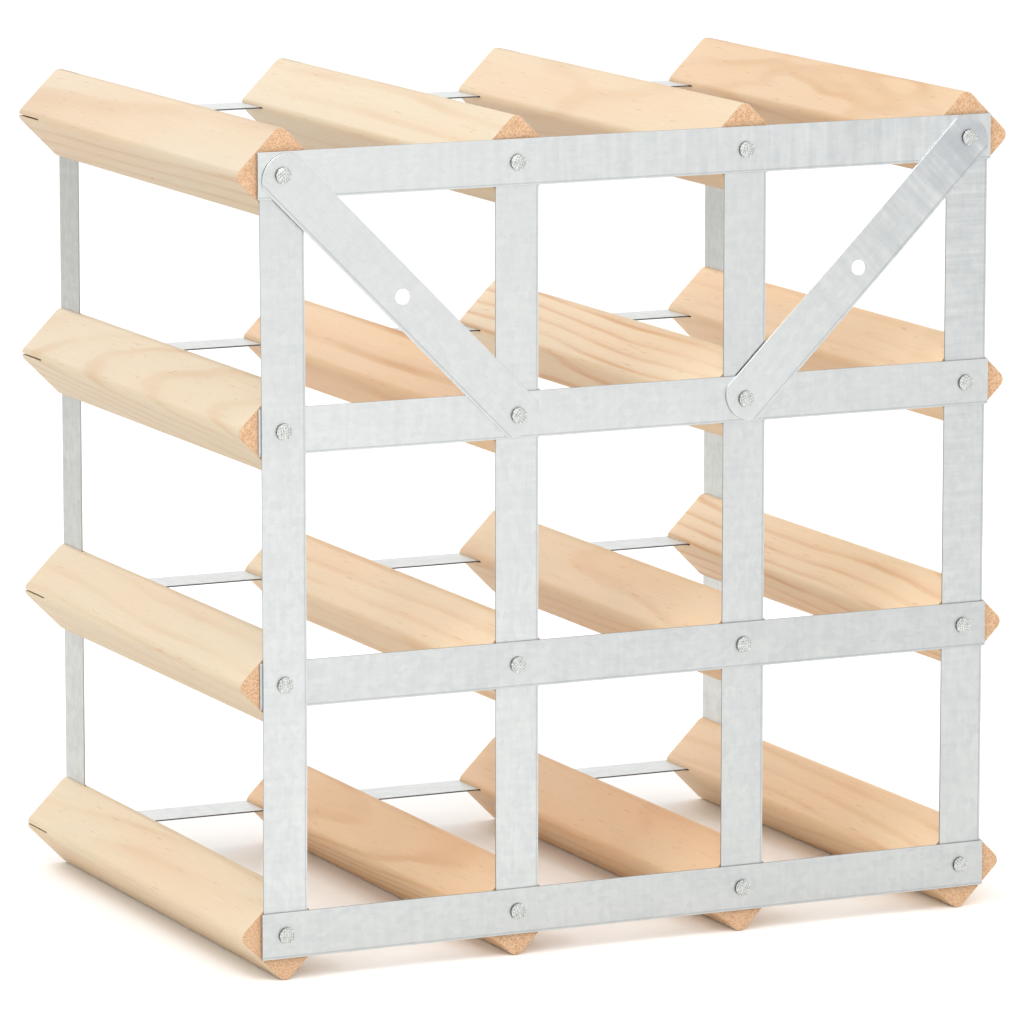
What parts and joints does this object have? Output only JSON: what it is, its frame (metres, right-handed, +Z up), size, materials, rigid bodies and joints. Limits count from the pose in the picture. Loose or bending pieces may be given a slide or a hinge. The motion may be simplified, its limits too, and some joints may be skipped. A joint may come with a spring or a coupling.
{
  "type": "wine rack",
  "caption": "Free-standing grid wine rack of square softwood bars on edge, nailed to galvanised steel straps with diagonal braces at the rear.",
  "frame": {"origin": "bottom centre of the overall box, on the surface that the lowest bars rest on", "axes": "+Z up; +Y towards the side the bottles go in, with edge-on strips; -Y towards the nailed straps and braces; +X completes the frame"},
  "size_m": [0.3262, 0.2316, 0.3263],
  "materials": {
    "pine": "planed and sanded, unvarnished",
    "galvanised_strap": "hot-dip zinc, satin with faint spangle",
    "galvanised_strip": "hot-dip zinc, satin",
    "steel_nail": "galvanised, rough"
  },
  "bodies": {
    "root": {"bar_r1_c1": "pine", "bar_r1_c2": "pine", "bar_r1_c3": "pine", "bar_r1_c4": "pine", "bar_r2_c1": "pine", "bar_r2_c2": "pine", "bar_r2_c3": "pine", "bar_r2_c4": "pine", "bar_r3_c1": "pine", "bar_r3_c2": "pine", "bar_r3_c3": "pine", "bar_r3_c4": "pine", "bar_r4_c1": "pine", "bar_r4_c2": "pine", "bar_r4_c3": "pine", "bar_r4_c4": "pine", "rear_strap_row_1": "galvanised_strap", "rear_strap_row_2": "galvanised_strap", "rear_strap_row_3": "galvanised_strap", "rear_strap_row_4": "galvanised_strap", "rear_strap_col_1": "galvanised_strap", "rear_strap_col_2": "galvanised_strap", "rear_strap_col_3": "galvanised_strap", "rear_strap_col_4": "galvanised_strap", "front_strip_row_1": "galvanised_strip", "front_strip_row_2": "galvanised_strip", "front_strip_row_3": "galvanised_strip", "front_strip_row_4": "galvanised_strip", "front_strip_col_1": "galvanised_strip", "front_strip_col_2": "galvanised_strip", "front_strip_col_3": "galvanised_strip", "front_strip_col_4": "galvanised_strip", "brace_left": "galvanised_strap", "brace_right": "galvanised_strap", "strap_nails": "steel_nail", "brace_nails": "steel_nail"}
  },
  "joints": []
}
